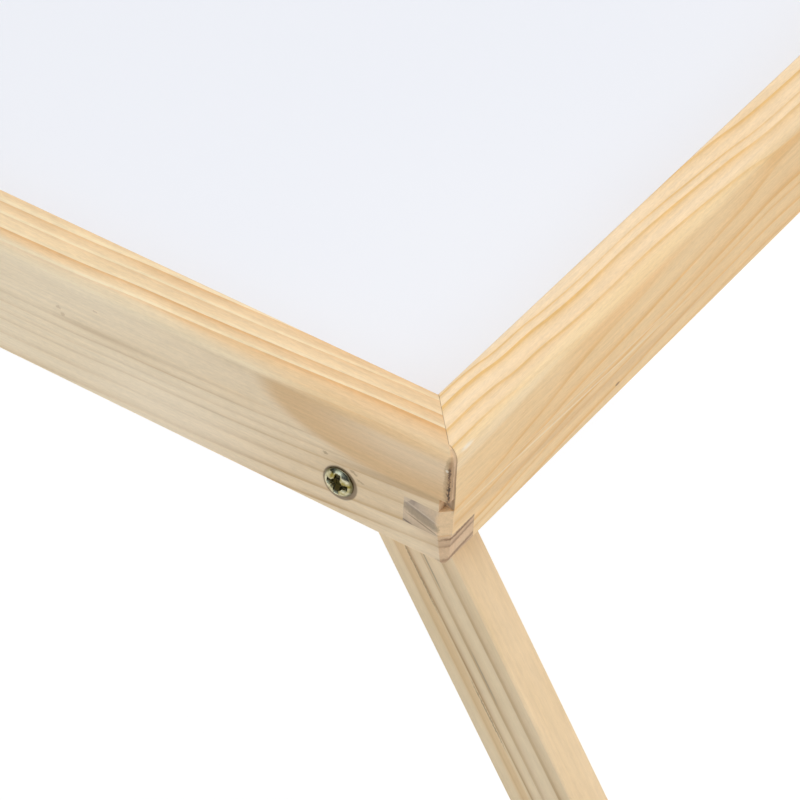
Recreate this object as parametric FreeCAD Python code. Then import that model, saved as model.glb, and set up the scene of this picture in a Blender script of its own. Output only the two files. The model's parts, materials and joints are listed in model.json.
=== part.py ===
import FreeCAD, Part

import math
import os

# A pine bed tray: a glued frame of four rails holds a white panel in its grooves, and two pairs of
# legs, each joined by a crossbar, swing on screws through the side rails.
# X runs along the side rails, Y along the end rails, Z up. The origin is on the floor, below the
# middle of the tray. All sizes are in millimetres.

# Overall sizes
TRAY_LENGTH = 500.0
TRAY_WIDTH = 300.0

# Rails: a section that slopes down to the outside, with a well-rounded outer arris
RAIL_THICKNESS = 11.0
RAIL_HEIGHT = 35.0
RAIL_TOP_FALL = 5.0
RAIL_TOP_ARRIS = 4.0
RAIL_INNER_ARRIS = 0.6
RAIL_BOTTOM_ARRIS = 0.5
RAIL_STOP_ARRIS = 0.8

# Corner joint of the rails: two box-joint fingers below, a lipped mitre above
FINGER_HEIGHT = 6.9
MITRE_LIP = 2.3
MITRE_GAP = 0.12
LIP_CLEAR_HEIGHT = 3.6
SIDE_FINGER_LOW_CHAMFER = 1.1
SIDE_FINGER_HIGH_CHAMFER = 2.1
END_FINGER_CHAMFER = 2.3
LIP_CHAMFER = 0.4

# Panel and the grooves that hold it
PANEL_THICKNESS = 3.2
PANEL_CORNER = 1.0
GROOVE_DEPTH = 5.5
GROOVE_PLAY = 0.2
PANEL_EDGE_PLAY = 0.5
LEG_TO_PANEL = 0.6

# Legs
LEG_WIDTH = 18.2
LEG_THICKNESS = 10.5
LEG_ARRIS = 0.6
PIVOT_INSET = 27.4
STOP_GAP = 0.05
FOLDED_TIP_GAP = 4.0

# Crossbars between the legs of a pair
CROSSBAR_WIDTH = 20.0
CROSSBAR_THICKNESS = 9.0
CROSSBAR_ARRIS = 0.6
CROSSBAR_FROM_FLOOR = 45.0
HOUSING_DEPTH = 2.0

# Pivot screws and washers
PIVOT_SHANK_RADIUS = 2.0
PIVOT_HEAD_RADIUS = 3.75
PIVOT_HEAD_RIM = 0.3
PIVOT_HEAD_HEIGHT = 1.5
PIVOT_BITE = 9.0
PIVOT_RUNNING_CLEARANCE = 0.08
HEAD_TO_RAIL = 0.05
WASHER_RADIUS = 4.5
WASHER_THICKNESS = 0.5
WASHER_TO_RAIL = 0.05
WASHER_BORE_CLEARANCE = 0.15

# Crossbar screws
CROSSBAR_SHANK_RADIUS = 1.6
CROSSBAR_HEAD_RADIUS = 3.3
CROSSBAR_HEAD_DEPTH = 1.9
CROSSBAR_HEAD_SINK = 0.3
CROSSBAR_SCREW_BITE = 18.0

# Domed head of the pivot screws: (share of the head's radius, share of its height)
HEAD_BULGE = (0.965, 0.5)
HEAD_BROW = (0.84, 0.76)
HEAD_RISE = (0.45, 0.945)

# Cross recesses, as shares of the head's radius, and a screw's point
RECESS_REACH = 0.68
RECESS_FLOOR_REACH = 0.26
RECESS_WING = 0.3
RECESS_DEPTH = 0.45
POINT_LENGTH = 3.0

# How far a cutting shape runs past what it cuts
OVERSHOOT = 1.0

# Worked out from the sizes above
HALF_LENGTH = TRAY_LENGTH / 2
HALF_WIDTH = TRAY_WIDTH / 2
PIVOT_HEIGHT = LEG_WIDTH / 2
PIVOT_X = HALF_LENGTH - PIVOT_INSET
LEG_FACE = RAIL_THICKNESS + WASHER_TO_RAIL + WASHER_THICKNESS
GROOVE_FLOOR = PIVOT_HEIGHT + LEG_WIDTH / 2 + LEG_TO_PANEL
END_FINGER_TOP = 2 * FINGER_HEIGHT
LIP_BOTTOM = END_FINGER_TOP + LIP_CLEAR_HEIGHT
PANEL_INSET = RAIL_THICKNESS - GROOVE_DEPTH + PANEL_EDGE_PLAY


def opening_angle():
    """Angle from vertical at which a leg's outer edge meets the rounded edge of the end rail."""
    across = PIVOT_INSET - RAIL_THICKNESS + RAIL_STOP_ARRIS
    down = PIVOT_HEIGHT - RAIL_STOP_ARRIS
    reach = LEG_WIDTH / 2 + STOP_GAP + RAIL_STOP_ARRIS
    return math.acos(reach / math.hypot(across, down)) - math.atan2(down, across)


LEG_ANGLE = opening_angle()
FOOT_SLOPE = LEG_WIDTH / 2 * math.tan(LEG_ANGLE)
LEG_REACH = PIVOT_X - FOLDED_TIP_GAP / 2 - FOOT_SLOPE
RAIL_BASE = LEG_REACH * math.cos(LEG_ANGLE) - PIVOT_HEIGHT
PIVOT_Z = RAIL_BASE + PIVOT_HEIGHT
CROSSBAR_DOWN = LEG_REACH - CROSSBAR_FROM_FLOOR


def rounded_face(corners, place):
    """Face of a polygon with corners (a, b, radius), rounded, where place(a, b) gives each point."""
    stretches = []
    for index, (a, b, radius) in enumerate(corners):
        here = FreeCAD.Vector(a, b, 0)
        to_last = (FreeCAD.Vector(*corners[index - 1][:2], 0) - here).normalize()
        to_next = (FreeCAD.Vector(*corners[(index + 1) % len(corners)][:2], 0) - here).normalize()
        half_turn = to_last.getAngle(to_next) / 2
        inward = (to_last + to_next).normalize()
        start = here + to_last * (radius / math.tan(half_turn))
        middle = here + inward * (radius / math.sin(half_turn) - radius)
        end = here + to_next * (radius / math.tan(half_turn))
        stretches.append([place(point.x, point.y) for point in (start, middle, end)])
    edges = []
    for index, (start, middle, end) in enumerate(stretches):
        if corners[index][2] > 0:
            edges.append(Part.Arc(start, middle, end).toShape())
        next_start = stretches[(index + 1) % len(stretches)][0]
        edges.append(Part.LineSegment(end, next_start).toShape())
    return Part.Face(Part.Wire(edges))


def block(x_span, y_span, z_span):
    """Box between two limits on each axis, given in either order."""
    low = FreeCAD.Vector(min(x_span), min(y_span), min(z_span))
    high = FreeCAD.Vector(max(x_span), max(y_span), max(z_span))
    size = high - low
    return Part.makeBox(size.x, size.y, size.z, low)


def prism(corners, z_span):
    """Upright prism over a polygon of (x, y) corners."""
    low, high = z_span
    points = [FreeCAD.Vector(x, y, low) for x, y in corners]
    outline = Part.makePolygon(points + points[:1])
    return Part.Face(outline).extrude(FreeCAD.Vector(0, 0, high - low))


def at_corner(end, side, inset_x, inset_y):
    """Point (x, y) a distance inside the frame's outer faces, at the corner with signs end, side."""
    return (end * (HALF_LENGTH - inset_x), side * (HALF_WIDTH - inset_y))


def corner_prism(end, side, insets, z_span):
    """Upright prism near a frame corner; each point is (inset along X, inset along Y)."""
    corners = [at_corner(end, side, inset_x, inset_y) for inset_x, inset_y in insets]
    return prism(corners, (RAIL_BASE + z_span[0], RAIL_BASE + z_span[1]))


def rail_section():
    """Corners (inset from the outer face, height above the rail's bottom, radius) of every rail."""
    return [
        (0, 0, RAIL_BOTTOM_ARRIS),
        (RAIL_THICKNESS, 0, RAIL_STOP_ARRIS),
        (RAIL_THICKNESS, RAIL_HEIGHT, RAIL_INNER_ARRIS),
        (0, RAIL_HEIGHT - RAIL_TOP_FALL, RAIL_TOP_ARRIS),
    ]


def side_bar(side):
    """Moulded bar of a side rail, from end to end of the tray, before its joints are cut."""
    def place(inset, height):
        return FreeCAD.Vector(-HALF_LENGTH, side * (HALF_WIDTH - inset), RAIL_BASE + height)

    return rounded_face(rail_section(), place).extrude(FreeCAD.Vector(TRAY_LENGTH, 0, 0))


def end_bar(end):
    """Moulded bar of an end rail, across the whole tray, before its joints are cut."""
    def place(inset, height):
        return FreeCAD.Vector(end * (HALF_LENGTH - inset), -HALF_WIDTH, RAIL_BASE + height)

    return rounded_face(rail_section(), place).extrude(FreeCAD.Vector(0, TRAY_WIDTH, 0))


def panel_groove():
    """Plate as wide as the grooves reach, cut out of every rail."""
    inset = RAIL_THICKNESS - GROOVE_DEPTH
    floor = RAIL_BASE + GROOVE_FLOOR
    return block(
        (inset - HALF_LENGTH, HALF_LENGTH - inset),
        (inset - HALF_WIDTH, HALF_WIDTH - inset),
        (floor, floor + PANEL_THICKNESS + GROOVE_PLAY),
    )


def chamfer_cutter(end, side, size, z_span):
    """Cuts the frame's upright outer edge back by size, over a stretch of its height."""
    over = size + OVERSHOOT
    insets = [(size, 0), (size, -over), (-over, -over), (-over, size), (0, size)]
    return corner_prism(end, side, insets, z_span)


def tapered_chamfer_cutter(end, side, low_size, high_size, height):
    """Cuts the upright outer edge back by low_size at the rail's bottom and by high_size at height."""
    under = low_size - (high_size - low_size) * OVERSHOOT / height
    reach = high_size + OVERSHOOT
    points = []
    for inset, level in (
        (under / 2, -OVERSHOOT), (high_size / 2, height), (-OVERSHOOT, height), (-OVERSHOOT, -OVERSHOOT),
    ):
        place = at_corner(end, side, inset - reach, inset + reach)
        points.append(FreeCAD.Vector(*place, RAIL_BASE + level))
    outline = Part.makePolygon(points + points[:1])
    return Part.Face(outline).extrude(FreeCAD.Vector(-end * 2 * reach, side * 2 * reach, 0))


def side_joint_cutters(end, side):
    """What a side rail loses at one end: the end rail's finger, mitre and a clear step under the lip."""
    inner = RAIL_THICKNESS
    past = inner + OVERSHOOT
    out = -OVERSHOOT
    lip = MITRE_LIP
    top = RAIL_HEIGHT + OVERSHOOT
    finger_slot = [(out, out), (inner, out), (inner, past), (out, past)]
    beyond_mitre = [(out, lip), (lip, lip), (inner, inner), (inner, past), (out, past)]
    under_lip = [(out, out), (lip, out), (lip, lip), (out, lip)]
    return [
        corner_prism(end, side, finger_slot, (FINGER_HEIGHT, END_FINGER_TOP)),
        corner_prism(end, side, beyond_mitre, (END_FINGER_TOP, top)),
        corner_prism(end, side, under_lip, (END_FINGER_TOP, LIP_BOTTOM)),
        tapered_chamfer_cutter(
            end, side, SIDE_FINGER_LOW_CHAMFER, SIDE_FINGER_HIGH_CHAMFER, FINGER_HEIGHT
        ),
        chamfer_cutter(end, side, LIP_CHAMFER, (LIP_BOTTOM, top)),
    ]


def end_joint_cutters(end, side):
    """What an end rail loses at one end: the side rail's finger, the lip and the mitre."""
    inner = RAIL_THICKNESS
    past = inner + OVERSHOOT
    out = -OVERSHOOT
    lip = MITRE_LIP + MITRE_GAP
    mitre_end = inner + MITRE_GAP
    finger_slot = [(out, out), (past, out), (past, inner), (out, inner)]
    before_mitre = [(out, out), (out, lip), (MITRE_LIP, lip), (inner, mitre_end), (past, mitre_end), (past, out)]
    return [
        corner_prism(end, side, finger_slot, (out, FINGER_HEIGHT)),
        corner_prism(end, side, before_mitre, (END_FINGER_TOP, RAIL_HEIGHT + OVERSHOOT)),
        chamfer_cutter(end, side, END_FINGER_CHAMFER, (FINGER_HEIGHT, END_FINGER_TOP)),
    ]


def outside_end_section(end):
    """Everything outside an end rail's section, so that a side rail's lip takes the same rounding."""
    outer = end * (HALF_LENGTH + OVERSHOOT)
    inner = end * (HALF_LENGTH - RAIL_THICKNESS)
    around = block(
        (outer, inner),
        (-HALF_WIDTH - OVERSHOOT, HALF_WIDTH + OVERSHOOT),
        (RAIL_BASE - OVERSHOOT, RAIL_BASE + RAIL_HEIGHT + OVERSHOOT),
    )
    square_inner_edge = block(
        (inner, end * (HALF_LENGTH - RAIL_THICKNESS / 2)),
        (-HALF_WIDTH, HALF_WIDTH),
        (RAIL_BASE, RAIL_BASE + RAIL_HEIGHT),
    )
    return around.cut(end_bar(end)).cut(square_inner_edge)


def screw_hole(end, side):
    """Running hole for a pivot screw through a side rail."""
    radius = PIVOT_SHANK_RADIUS + PIVOT_RUNNING_CLEARANCE
    foot = FreeCAD.Vector(end * PIVOT_X, side * (HALF_WIDTH + OVERSHOOT), PIVOT_Z)
    return Part.makeCylinder(radius, RAIL_THICKNESS + 2 * OVERSHOOT, foot, FreeCAD.Vector(0, -side, 0))


def side_rail(side):
    cutters = [panel_groove()]
    for end in (-1, 1):
        cutters += side_joint_cutters(end, side)
        cutters += [outside_end_section(end), screw_hole(end, side)]
    return side_bar(side).cut(cutters)


def end_rail(end):
    cutters = [panel_groove()]
    for side in (-1, 1):
        cutters += end_joint_cutters(end, side)
    return end_bar(end).cut(cutters)


def tray_panel():
    """Sheet that slides in the four grooves before the last rail goes on."""
    half_x = HALF_LENGTH - PANEL_INSET
    half_y = HALF_WIDTH - PANEL_INSET
    z = RAIL_BASE + GROOVE_FLOOR
    corners = [(x, y, PANEL_CORNER) for x, y in (
        (-half_x, -half_y), (half_x, -half_y), (half_x, half_y), (-half_x, half_y),
    )]
    sheet = rounded_face(corners, lambda x, y: FreeCAD.Vector(x, y, z))
    return sheet.extrude(FreeCAD.Vector(0, 0, PANEL_THICKNESS))


def leg_point(end, across, down, y):
    """Point of an open leg: across from its middle line towards the outside, down along it, at y."""
    x = end * (PIVOT_X + across * math.cos(LEG_ANGLE) + down * math.sin(LEG_ANGLE))
    return FreeCAD.Vector(x, y, PIVOT_Z + across * math.sin(LEG_ANGLE) - down * math.cos(LEG_ANGLE))


def leg_direction(end):
    return leg_point(end, 0, 1, 0) - leg_point(end, 0, 0, 0)


def crossbar(end):
    """Lath across a pair of legs, housed in the inner face of each."""
    half_y = HALF_WIDTH - LEG_FACE - LEG_THICKNESS + HOUSING_DEPTH
    corners = [(across * CROSSBAR_THICKNESS / 2, CROSSBAR_DOWN + down * CROSSBAR_WIDTH / 2, CROSSBAR_ARRIS)
               for across, down in ((-1, -1), (1, -1), (1, 1), (-1, 1))]
    face = rounded_face(corners, lambda across, down: leg_point(end, across, down, -half_y))
    return face.extrude(FreeCAD.Vector(0, 2 * half_y, 0))


def leg(end, side):
    """Leg with a round head about its pivot and a foot cut level with the floor when open."""
    outer = HALF_WIDTH - LEG_FACE
    inner = outer - LEG_THICKNESS
    half = LEG_WIDTH / 2

    def place(across, y):
        return leg_point(end, across, 0, side * y)

    section = [(across, y, LEG_ARRIS) for across, y in (
        (-half, outer), (half, outer), (half, inner), (-half, inner),
    )]
    bar = rounded_face(section, place).extrude(leg_direction(end) * (LEG_REACH + LEG_WIDTH))
    half_section = [(0, outer, 0), (half, outer, LEG_ARRIS), (half, inner, LEG_ARRIS), (0, inner, 0)]
    head_face = rounded_face(half_section, place)
    head = head_face.revolve(leg_point(end, 0, 0, 0), FreeCAD.Vector(0, -end, 0), 180)
    span_x = HALF_LENGTH + 2 * LEG_REACH
    below_floor = block((-span_x, span_x), (-TRAY_WIDTH, TRAY_WIDTH), (-2 * LEG_WIDTH, 0))
    return bar.fuse(head).removeSplitter().cut([
        below_floor,
        crossbar(end),
        pivot_screw(end, side),
        crossbar_screw_hole(end, side),
    ])


def cross_recess(head_radius, head_top):
    """Tapered cross cut into a screw head that faces up."""
    reach = RECESS_REACH * head_radius
    floor_reach = RECESS_FLOOR_REACH * head_radius
    wing = RECESS_WING * head_radius
    floor = head_top - RECESS_DEPTH * head_radius
    above = head_top + OVERSHOOT
    right_half = [(floor_reach, floor), (reach, head_top), (reach, above)]
    left_half = [(-x, z) for x, z in reversed(right_half)]
    points = [FreeCAD.Vector(x, -wing / 2, z) for x, z in left_half + right_half]
    wings = Part.Face(Part.makePolygon(points + points[:1])).extrude(FreeCAD.Vector(0, wing, 0))
    turned = wings.copy()
    turned.rotate(FreeCAD.Vector(0, 0, 0), FreeCAD.Vector(0, 0, 1), 90)
    pit = Part.makeCone(floor_reach, wing, head_top - floor, FreeCAD.Vector(0, 0, floor))
    return wings.fuse([turned, pit])


def turned_solid(edges):
    """Solid of revolution about Z of a closed outline that touches the axis."""
    return Part.Face(Part.Wire(edges)).revolve(FreeCAD.Vector(0, 0, 0), FreeCAD.Vector(0, 0, 1), 360)


def outline_edges(points):
    """Straight edges through (radius, height) points."""
    vectors = [FreeCAD.Vector(radius, 0, height) for radius, height in points]
    return [Part.LineSegment(start, end).toShape() for start, end in zip(vectors, vectors[1:])]


def pan_head_screw(length):
    """Screw that points down from z = 0, with a domed head above."""
    shank = [
        (0, PIVOT_HEAD_HEIGHT),
        (0, -length),
        (PIVOT_SHANK_RADIUS, POINT_LENGTH - length),
        (PIVOT_SHANK_RADIUS, 0),
        (PIVOT_HEAD_RADIUS, 0),
        (PIVOT_HEAD_RADIUS, PIVOT_HEAD_RIM),
    ]
    rim = FreeCAD.Vector(PIVOT_HEAD_RADIUS, 0, PIVOT_HEAD_RIM)
    crown = FreeCAD.Vector(0, 0, PIVOT_HEAD_HEIGHT)
    bulge, brow, rise = [
        FreeCAD.Vector(PIVOT_HEAD_RADIUS * across, 0, PIVOT_HEAD_HEIGHT * up)
        for across, up in (HEAD_BULGE, HEAD_BROW, HEAD_RISE)
    ]
    edges = outline_edges(shank)
    edges.append(Part.Arc(rim, bulge, brow).toShape())
    edges.append(Part.Arc(brow, rise, crown).toShape())
    return turned_solid(edges).cut(cross_recess(PIVOT_HEAD_RADIUS, PIVOT_HEAD_HEIGHT))


def countersunk_blank():
    """Crossbar screw that points down from z = 0, with its flat head below that level and no recess."""
    length = LEG_THICKNESS - HOUSING_DEPTH + CROSSBAR_SCREW_BITE
    neck = CROSSBAR_HEAD_DEPTH
    outline = [
        (0, 0),
        (0, -length),
        (CROSSBAR_SHANK_RADIUS, POINT_LENGTH - length),
        (CROSSBAR_SHANK_RADIUS, -neck),
        (CROSSBAR_HEAD_RADIUS, -CROSSBAR_HEAD_SINK),
        (CROSSBAR_HEAD_RADIUS, 0),
        (0, 0),
    ]
    return turned_solid(outline_edges(outline))


def driven_in(screw, end, side, down, inset):
    """Screw turned to point inwards along Y, its z = 0 level at an inset from the outer face."""
    screw.rotate(FreeCAD.Vector(0, 0, 0), FreeCAD.Vector(1, 0, 0), -90 * side)
    screw.translate(leg_point(end, 0, down, side * (HALF_WIDTH - inset)))
    return screw


def pivot_screw(end, side):
    return driven_in(pan_head_screw(HEAD_TO_RAIL + LEG_FACE + PIVOT_BITE), end, side, 0, -HEAD_TO_RAIL)


def pivot_washer(end, side):
    """Thin washer between rail and leg, on the leg's face."""
    ring = Part.makeCylinder(WASHER_RADIUS, WASHER_THICKNESS)
    bore = Part.makeCylinder(PIVOT_SHANK_RADIUS + WASHER_BORE_CLEARANCE, WASHER_THICKNESS)
    return driven_in(ring.cut(bore), end, side, 0, LEG_FACE)


def crossbar_screw_hole(end, side):
    return driven_in(countersunk_blank(), end, side, CROSSBAR_DOWN, LEG_FACE)


def crossbar_screw(end, side):
    screw = countersunk_blank().cut(cross_recess(CROSSBAR_HEAD_RADIUS, 0))
    return driven_in(screw, end, side, CROSSBAR_DOWN, LEG_FACE)


def all_nodes():
    nodes = {"tray_panel": tray_panel()}
    for side_name, side in (("front", -1), ("back", 1)):
        nodes[side_name + "_side_rail"] = side_rail(side)
    for end_name, end in (("right", 1), ("left", -1)):
        nodes[end_name + "_end_rail"] = end_rail(end)
        holes = [crossbar_screw_hole(end, side) for side in (-1, 1)]
        nodes[end_name + "_crossbar"] = crossbar(end).cut(holes)
        for side_name, side in (("front", -1), ("back", 1)):
            corner = side_name + "_" + end_name
            nodes[corner + "_leg"] = leg(end, side)
            nodes[corner + "_pivot_screw"] = pivot_screw(end, side)
            nodes[corner + "_pivot_washer"] = pivot_washer(end, side)
            nodes[corner + "_crossbar_screw"] = crossbar_screw(end, side)
    return nodes


os.makedirs("parts", exist_ok=True)
degrees = math.degrees(LEG_ANGLE)
print("leg angle %.3f deg, rail base %.3f, leg reach %.3f" % (degrees, RAIL_BASE, LEG_REACH))
for name, shape in all_nodes().items():
    shape.exportStep("parts/" + name + ".step")
    box = shape.optimalBoundingBox(False)
    limits = (box.XMin, box.XMax, box.YMin, box.YMax, box.ZMin, box.ZMax)
    sizes = "X %.2f..%.2f Y %.2f..%.2f Z %.2f..%.2f" % limits
    state = "solids %d valid %s volume %9.1f" % (len(shape.Solids), shape.isValid(), shape.Volume)
    print("%-28s %s %s" % (name, state, sizes))
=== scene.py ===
"""Looks of a pine bed tray: a glued frame with box-jointed, mitred corners round a white board,
standing on two folding pairs of legs. Lengths are in metres unless a name ends in _MM, and angles
are in degrees unless a comment says otherwise."""

import json
import math

import bpy
from mathutils import Euler, Matrix, Vector


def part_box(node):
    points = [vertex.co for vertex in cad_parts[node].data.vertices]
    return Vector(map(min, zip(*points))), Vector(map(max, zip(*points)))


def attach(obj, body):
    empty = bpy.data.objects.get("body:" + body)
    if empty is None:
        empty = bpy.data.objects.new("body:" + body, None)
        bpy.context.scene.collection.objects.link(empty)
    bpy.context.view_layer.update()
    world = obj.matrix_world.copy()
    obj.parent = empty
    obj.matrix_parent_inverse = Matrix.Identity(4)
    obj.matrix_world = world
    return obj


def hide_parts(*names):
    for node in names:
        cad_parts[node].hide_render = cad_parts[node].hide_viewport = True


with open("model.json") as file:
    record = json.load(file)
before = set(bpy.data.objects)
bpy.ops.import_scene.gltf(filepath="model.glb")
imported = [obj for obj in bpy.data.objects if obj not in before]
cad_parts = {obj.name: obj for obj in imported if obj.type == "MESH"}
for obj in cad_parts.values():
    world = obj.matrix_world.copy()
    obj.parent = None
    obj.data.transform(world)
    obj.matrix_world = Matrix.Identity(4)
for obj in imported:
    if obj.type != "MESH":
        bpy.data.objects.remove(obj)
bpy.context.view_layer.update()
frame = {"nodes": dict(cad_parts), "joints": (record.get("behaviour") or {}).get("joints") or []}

MM = 0.001

# Places taken from the model: the tray's outer corner, the legs' pivot and how far the legs splay
RAIL_LOW, RAIL_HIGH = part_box("front_side_rail")
HALF_LENGTH_MM = RAIL_HIGH.x / MM
HALF_WIDTH_MM = -RAIL_LOW.y / MM
RAIL_BASE_MM = RAIL_LOW.z / MM
FOLD = frame["joints"][0]
PIVOT_X_MM = FOLD["pos_m"][0] / MM
PIVOT_Z_MM = FOLD["pos_m"][2] / MM
LEG_SPLAY = FOLD["range_deg"][1] - 90
LEG_OUTER_MM = -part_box("front_right_leg")[0].y / MM

# Camera: a long lens on the front right corner, from above
CAMERA_PLACE = Vector((0.5684, -0.6847, 0.7452))
CAMERA_HEADING = 121.82
CAMERA_DIP = 40.36
CAMERA_ROLL = 3.32
CAMERA_LENS_MM = 180.0

FLOOR_SIZE = 12.0


def linear(colour):
    """Linear RGBA of an sRGB hex colour such as "F2D4AA"."""
    shares = [int(colour[k:k + 2], 16) / 255 for k in (0, 2, 4)]
    return tuple(s / 12.92 if s <= 0.04045 else ((s + 0.055) / 1.055) ** 2.4 for s in shares) + (1.0,)


def add(tree, kind, inputs=None, **settings):
    """Adds a node with its settings. inputs gives its sockets, by name or number, a value or a link."""
    made = tree.nodes.new(kind)
    for name, value in settings.items():
        setattr(made, name, value)
    for key, value in (inputs or {}).items():
        socket = made.inputs[key] if isinstance(key, int) else next(
            s for s in made.inputs if s.enabled and s.name == key)
        if isinstance(value, bpy.types.Node):
            value = next(s for s in value.outputs if s.enabled)
        if isinstance(value, bpy.types.NodeSocket):
            tree.links.new(value, socket)
        else:
            socket.default_value = value
    return made


def new_material(name):
    """Empty node material and its tree."""
    material = bpy.data.materials.new(name)
    material.use_nodes = True
    material.node_tree.nodes.clear()
    return material, material.node_tree


def finish_material(tree, shader):
    """Ends a material in its shader."""
    add(tree, "ShaderNodeOutputMaterial", {"Surface": shader})


def curve_through(tree, source, points, handles="AUTO_CLAMPED"):
    """Nodes for y as a curve of source through (x, y) points, given from the lowest x to the highest."""
    xs, ys = zip(*points)
    low, high = min(ys), max(ys)
    share = add(tree, "ShaderNodeMapRange", {"Value": source, "From Min": xs[0], "From Max": xs[-1]})
    curve = add(tree, "ShaderNodeFloatCurve", {"Value": share})
    line = curve.mapping.curves[0]
    places = [((x - xs[0]) / (xs[-1] - xs[0]), (y - low) / (high - low)) for x, y in points]
    line.points[0].location = places[0]
    line.points[-1].location = places[-1]
    for place in places[1:-1]:
        line.points.new(*place)
    for point in line.points:
        point.handle_type = handles
    curve.mapping.update()
    return add(tree, "ShaderNodeMapRange", {"Value": curve, "To Min": low, "To Max": high})


def spot(tree, point, mark):
    """Share, 0 to 1, of a soft-edged ellipsoid in a board's own millimetres."""
    local = add(tree, "ShaderNodeMapping", {
        "Vector": point,
        "Location": mark["at"],
        "Rotation": (math.radians(mark.get("roll", 0.0)), math.radians(-mark.get("tilt", 0.0)), 0.0),
        "Scale": mark["size"],
    }, vector_type="TEXTURE")
    blur = mark.get("blur", 0.35)
    return add(tree, "ShaderNodeMapRange", {
        "Value": add(tree, "ShaderNodeVectorMath", {0: local}, operation="LENGTH").outputs["Value"],
        "From Min": 1 + blur,
        "From Max": 1 - blur,
        "To Max": mark.get("amount", 1.0),
    }, interpolation_type="SMOOTHSTEP")


def board_point(tree, corner, turn):
    """Object coordinates as (along the grain, inset, height) mm from a corner, and the normal there."""
    rotation = Euler([math.radians(angle) for angle in turn])
    place = -(rotation.to_matrix() @ Vector(corner))
    coordinates = add(tree, "ShaderNodeTexCoord")
    point = add(tree, "ShaderNodeMapping", {
        "Vector": coordinates.outputs["Object"],
        "Location": place,
        "Rotation": rotation,
        "Scale": (1 / MM, 1 / MM, 1 / MM),
    })
    normal = add(tree, "ShaderNodeMapping", {
        "Vector": coordinates.outputs["Normal"],
        "Rotation": rotation,
    })
    return point, normal


# Pine. Light earlywood that darkens gently to orange latewood and stops there at a sharp line. The
# wood is planed and left bare, so its sheen is soft and its sawn ends drink the light.
PINE_IOR = 1.5
PINE_ROUGHNESS = 0.52
EARLYWOOD_ROUGHER = 0.04
LATEWOOD_SMOOTHER = 0.06

# Sizes of its patterns in mm, along the grain and across it
WANDER_MM = (90, 28)
RING_PATCH_MM = (40, 5)
CLOUD_MM = (60, 9)
BLOTCH_MM = (4.5, 1.6)
STREAK_MM = (22, 0.7)
FIBRE_MM = (1.6, 0.22)
# How far the rings wander, and how large tears are and how far they reach, in mm
WANDER_REACH_MM = 0.5
TEAR_MM = 0.625
TEAR_REACH_MM = (1.4, 0.9, 0.8)

# How dark a growth ring is, from its start to its end
RING_PROFILE = (
    (0.0, 0.3), (0.12, 0.08), (0.33, 0.0), (0.6, 0.2), (0.8, 0.55), (0.9, 0.95), (0.955, 1.0),
    (1.0, 0.3))
# The same on the top edges of the side rails, which meet the rings at a low angle: a thin pale line,
# then a broad dark band
BANDED_PROFILE = (
    (0.0, 0.0), (0.12, 0.05), (0.28, 0.42), (0.55, 0.58), (0.75, 0.7), (0.88, 0.9), (0.955, 1.0),
    (1.0, 0.0))
# Each ring has its own strength from this far inside its start
STRENGTH_STEP_MM = 0.3


def grain_noise(tree, point, size, detail, shift=(0, 0, 0)):
    """Noise drawn out along the grain, with features of a size in mm along it and across it."""
    along, across = size
    drawn_out = add(tree, "ShaderNodeVectorMath", {
        0: point, 1: (1 / along, 1 / across, 1 / across), 2: shift}, operation="MULTIPLY_ADD")
    return add(tree, "ShaderNodeTexNoise", {"Vector": drawn_out, "Scale": 1.0, "Detail": detail})


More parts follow.
